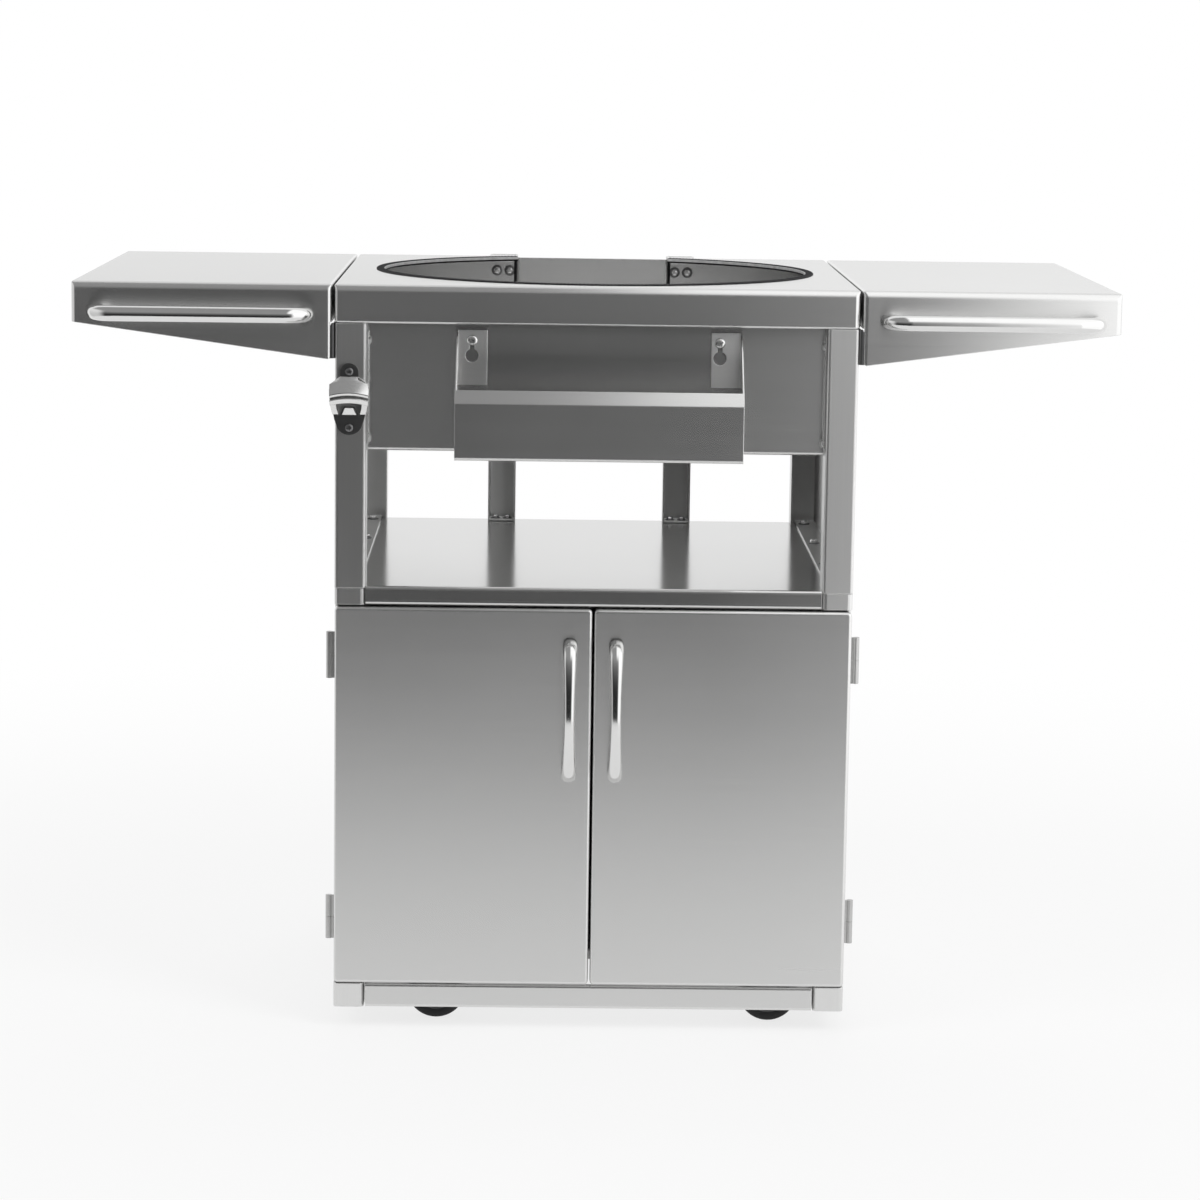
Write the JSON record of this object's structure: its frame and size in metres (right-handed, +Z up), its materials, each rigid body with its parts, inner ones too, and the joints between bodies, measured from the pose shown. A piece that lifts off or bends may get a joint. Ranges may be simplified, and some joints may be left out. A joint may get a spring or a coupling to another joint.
{
  "type": "kamado grill table",
  "caption": "Wheeled stainless table for a kamado grill: round cut-out over an open bay, cabinet with hinged doors, folding side shelves with towel bars, hook-on rack and bottle opener.",
  "frame": {"origin": "on the floor, under the middle of the bounding box", "axes": "+X to the right as seen from the front, along the shelves; +Y to the rear; +Z up"},
  "size_m": [1.278, 0.693, 0.9325],
  "materials": {
    "brushed_sheet": "brushed stainless sheet, grain along the length",
    "polished_bar": "polished stainless",
    "plated_steel": "satin plated steel",
    "edge_trim": "dark ribbed edge trim",
    "caster_tyre": "matt rubber",
    "magnet_catch": "matt black housing"
  },
  "bodies": {
    "table": {"tabletop": "brushed_sheet", "cutout_trim": "edge_trim", "notch_panel": "brushed_sheet", "side_wall_left": "brushed_sheet", "side_wall_right": "brushed_sheet", "front_apron": "brushed_sheet", "rear_apron": "brushed_sheet", "upright_left": "brushed_sheet", "upright_right": "brushed_sheet", "mid_shelf": "brushed_sheet", "cabinet_side_left": "brushed_sheet", "cabinet_side_right": "brushed_sheet", "cabinet_back": "brushed_sheet", "cabinet_floor": "brushed_sheet", "base_rail": "brushed_sheet", "bottle_opener": "plated_steel", "rack_screw_left": "plated_steel", "rack_screw_right": "plated_steel", "door_catch_left": "magnet_catch", "hinge_leaf_lower_left": "plated_steel", "hinge_leaf_upper_left": "plated_steel", "shelf_bracket_left": "brushed_sheet", "door_catch_right": "magnet_catch", "hinge_leaf_lower_right": "plated_steel", "hinge_leaf_upper_right": "plated_steel", "shelf_bracket_right": "brushed_sheet", "caster_plate_front_left": "plated_steel", "caster_plate_front_right": "plated_steel", "caster_plate_rear_left": "plated_steel", "caster_plate_rear_right": "plated_steel"},
    "spice_rack": {"rack": "brushed_sheet"},
    "left_door": {"door_skin_left": "brushed_sheet", "door_liner_left": "brushed_sheet", "door_handle_left": "polished_bar", "door_knuckle_lower_left": "plated_steel", "door_knuckle_upper_left": "plated_steel"},
    "right_door": {"door_skin_right": "brushed_sheet", "door_liner_right": "brushed_sheet", "door_handle_right": "polished_bar", "door_knuckle_lower_right": "plated_steel", "door_knuckle_upper_right": "plated_steel"},
    "left_side_shelf": {"side_shelf_left": "brushed_sheet", "shelf_pin_front_left": "plated_steel", "shelf_pin_rear_left": "plated_steel", "towel_bar_left": "polished_bar"},
    "right_side_shelf": {"side_shelf_right": "brushed_sheet", "shelf_pin_front_right": "plated_steel", "shelf_pin_rear_right": "plated_steel", "towel_bar_right": "polished_bar"},
    "caster_front_left": {"fork_front_left": "plated_steel"},
    "roller_front_left": {"wheel_front_left": "caster_tyre"},
    "brake_front_left": {"pedal_front_left": "plated_steel"},
    "caster_front_right": {"fork_front_right": "plated_steel"},
    "roller_front_right": {"wheel_front_right": "caster_tyre"},
    "brake_front_right": {"pedal_front_right": "plated_steel"},
    "caster_rear_left": {"fork_rear_left": "plated_steel"},
    "roller_rear_left": {"wheel_rear_left": "caster_tyre"},
    "caster_rear_right": {"fork_rear_right": "plated_steel"},
    "roller_rear_right": {"wheel_rear_right": "caster_tyre"}
  },
  "joints": [
    {"name": "rack_lift", "type": "slide", "parent": "table", "child": "spice_rack", "axis": [0, 0, 1], "range_m": [0, 0.0185]},
    {"name": "left_door_hinge", "type": "hinge", "parent": "table", "child": "left_door", "pos_m": [-0.3255, -0.2835, 0.3], "axis": [0, 0, -1], "range_deg": [0, 110]},
    {"name": "right_door_hinge", "type": "hinge", "parent": "table", "child": "right_door", "pos_m": [0.3255, -0.2835, 0.3], "axis": [0, 0, 1], "range_deg": [0, 110]},
    {"name": "left_shelf_fold", "type": "hinge", "parent": "table", "child": "left_side_shelf", "pos_m": [-0.331, 0.0065, 0.846], "axis": [0, -1, 0], "range_deg": [0, 90]},
    {"name": "right_shelf_fold", "type": "hinge", "parent": "table", "child": "right_side_shelf", "pos_m": [0.331, 0.0065, 0.846], "axis": [0, 1, 0], "range_deg": [0, 90]},
    {"name": "swivel_front_left", "type": "hinge", "parent": "table", "child": "caster_front_left", "pos_m": [-0.21, -0.2325, 0.085], "axis": [0, 0, 1], "continuous": true},
    {"name": "roll_front_left", "type": "hinge", "parent": "caster_front_left", "child": "roller_front_left", "pos_m": [-0.192, -0.2325, 0.0375], "axis": [0, 1, 0], "continuous": true},
    {"name": "brake_press_front_left", "type": "hinge", "parent": "caster_front_left", "child": "brake_front_left", "pos_m": [-0.183, -0.2325, 0.079], "axis": [0, 1, 0], "range_deg": [0, 14]},
    {"name": "swivel_front_right", "type": "hinge", "parent": "table", "child": "caster_front_right", "pos_m": [0.21, -0.2325, 0.085], "axis": [0, 0, 1], "continuous": true},
    {"name": "roll_front_right", "type": "hinge", "parent": "caster_front_right", "child": "roller_front_right", "pos_m": [0.228, -0.2325, 0.0375], "axis": [0, 1, 0], "continuous": true},
    {"name": "brake_press_front_right", "type": "hinge", "parent": "caster_front_right", "child": "brake_front_right", "pos_m": [0.237, -0.2325, 0.079], "axis": [0, 1, 0], "range_deg": [0, 14]},
    {"name": "swivel_rear_left", "type": "hinge", "parent": "table", "child": "caster_rear_left", "pos_m": [-0.21, 0.2815, 0.085], "axis": [0, 0, 1], "continuous": true},
    {"name": "roll_rear_left", "type": "hinge", "parent": "caster_rear_left", "child": "roller_rear_left", "pos_m": [-0.192, 0.2815, 0.0375], "axis": [0, 1, 0], "continuous": true},
    {"name": "swivel_rear_right", "type": "hinge", "parent": "table", "child": "caster_rear_right", "pos_m": [0.21, 0.2815, 0.085], "axis": [0, 0, 1], "continuous": true},
    {"name": "roll_rear_right", "type": "hinge", "parent": "caster_rear_right", "child": "roller_rear_right", "pos_m": [0.228, 0.2815, 0.0375], "axis": [0, 1, 0], "continuous": true}
  ]
}
